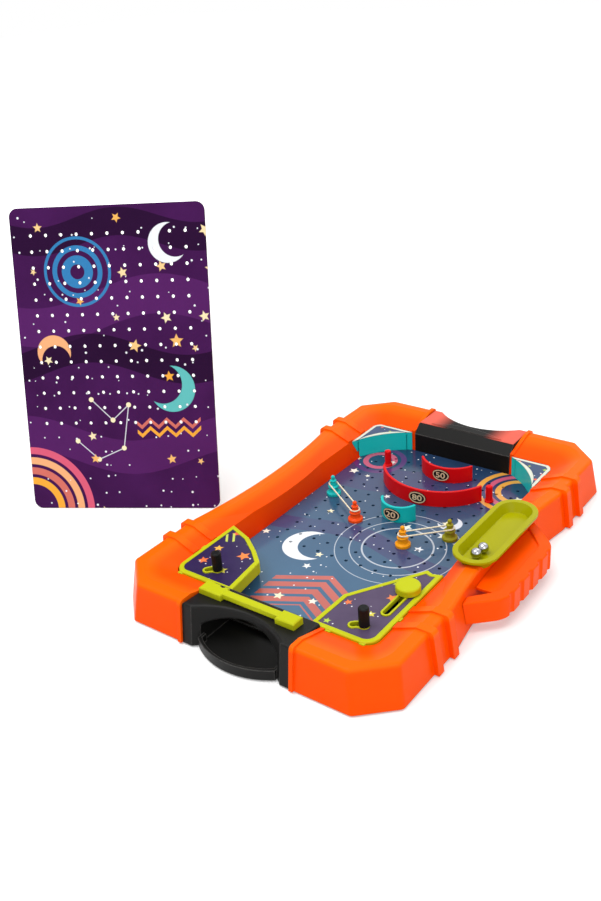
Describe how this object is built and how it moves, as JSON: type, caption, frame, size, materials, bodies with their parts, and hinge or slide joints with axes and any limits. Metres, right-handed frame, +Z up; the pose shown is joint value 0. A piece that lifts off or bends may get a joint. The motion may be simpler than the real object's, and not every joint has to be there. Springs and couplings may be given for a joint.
{
  "type": "tabletop pinball game",
  "caption": "Tub-shaped tabletop pinball case with peg-in walls and cones on a printed board, lever flippers, a spring launcher, a carry handle and a spare board.",
  "frame": {"origin": "on the table under the middle of the case, at the face of the centre foot", "axes": "+Z up, +X to the side with the carry handle, +Y from the player to the far end"},
  "size_m": [0.5635, 0.4503, 0.3035],
  "materials": {
    "orange_plastic": "moulded, semi-gloss",
    "grey_plastic": "moulded, matt",
    "steel_screw": "plated",
    "foot_rubber": "matt",
    "printed_board": "printed and glossy",
    "black_plastic": "fine moulded grain",
    "lime_plastic": "moulded, glossy",
    "panel_lime": "moulded, semi-gloss",
    "panel_print": "printed sheet",
    "red_plastic": "moulded, glossy",
    "teal_plastic": "moulded, glossy",
    "amber_plastic": "moulded, glossy",
    "olive_plastic": "moulded, glossy",
    "band_rubber": "stretched, matt",
    "ball_steel": "polished"
  },
  "bodies": {
    "case": {"front_case": "orange_plastic", "rear_case": "orange_plastic", "left_rail": "orange_plastic", "right_rail": "orange_plastic", "carry_handle": "orange_plastic", "base_plate": "grey_plastic", "case_screws": "steel_screw", "pivot_screws": "steel_screw", "launcher_spring": "steel_screw", "rubber_feet": "foot_rubber", "playfield_board": "printed_board", "front_housing": "black_plastic", "rear_housing": "black_plastic", "score_badges": "black_plastic", "ball_tray": "lime_plastic", "crossbar": "lime_plastic", "left_panel": "panel_lime", "right_panel": "panel_lime", "left_print": "panel_print", "right_print": "panel_print", "left_corner_print": "panel_print", "right_corner_print": "panel_print", "big_wall": "red_plastic", "small_wall": "red_plastic", "bumper_posts": "red_plastic", "red_cone": "red_plastic", "left_corner": "teal_plastic", "right_corner": "teal_plastic", "teal_cone": "teal_plastic", "round_wall": "teal_plastic", "amber_cone": "amber_plastic", "olive_cone": "olive_plastic", "left_band": "band_rubber", "right_band": "band_rubber"},
    "left_flipper": {"left_flipper": "lime_plastic", "left_lever": "black_plastic"},
    "right_flipper": {"right_flipper": "lime_plastic", "right_lever": "black_plastic"},
    "launcher": {"launcher_knob": "lime_plastic", "launcher_plunger": "panel_lime", "launcher_screw": "steel_screw"},
    "ball_1": {"ball_1": "ball_steel"},
    "ball_2": {"ball_2": "ball_steel"},
    "spare_board": {"spare_board": "printed_board"}
  },
  "joints": [
    {"name": "left_flipper_swing", "type": "hinge", "parent": "case", "child": "left_flipper", "pos_m": [-0.068, -0.1645, 0.016], "axis": [0, 0, 1], "range_deg": [0, 53]},
    {"name": "right_flipper_swing", "type": "hinge", "parent": "case", "child": "right_flipper", "pos_m": [0.086, -0.1645, 0.016], "axis": [0, 0, 1], "range_deg": [0, 53]},
    {"name": "launcher_pull", "type": "slide", "parent": "case", "child": "launcher", "axis": [0, -1, 0], "range_m": [0, 0.035], "stiffness_N_per_m": 60, "deforming": ["launcher_spring"]},
    {"name": "ball_1_lift", "type": "slide", "parent": "case", "child": "ball_1", "axis": [0, 0, 1], "range_m": [0, 0.06]},
    {"name": "ball_2_lift", "type": "slide", "parent": "case", "child": "ball_2", "axis": [0, 0, 1], "range_m": [0, 0.06]},
    {"name": "spare_board_lift", "type": "slide", "parent": "case", "child": "spare_board", "axis": [0, 0, 1], "range_m": [0, 0.1]}
  ]
}
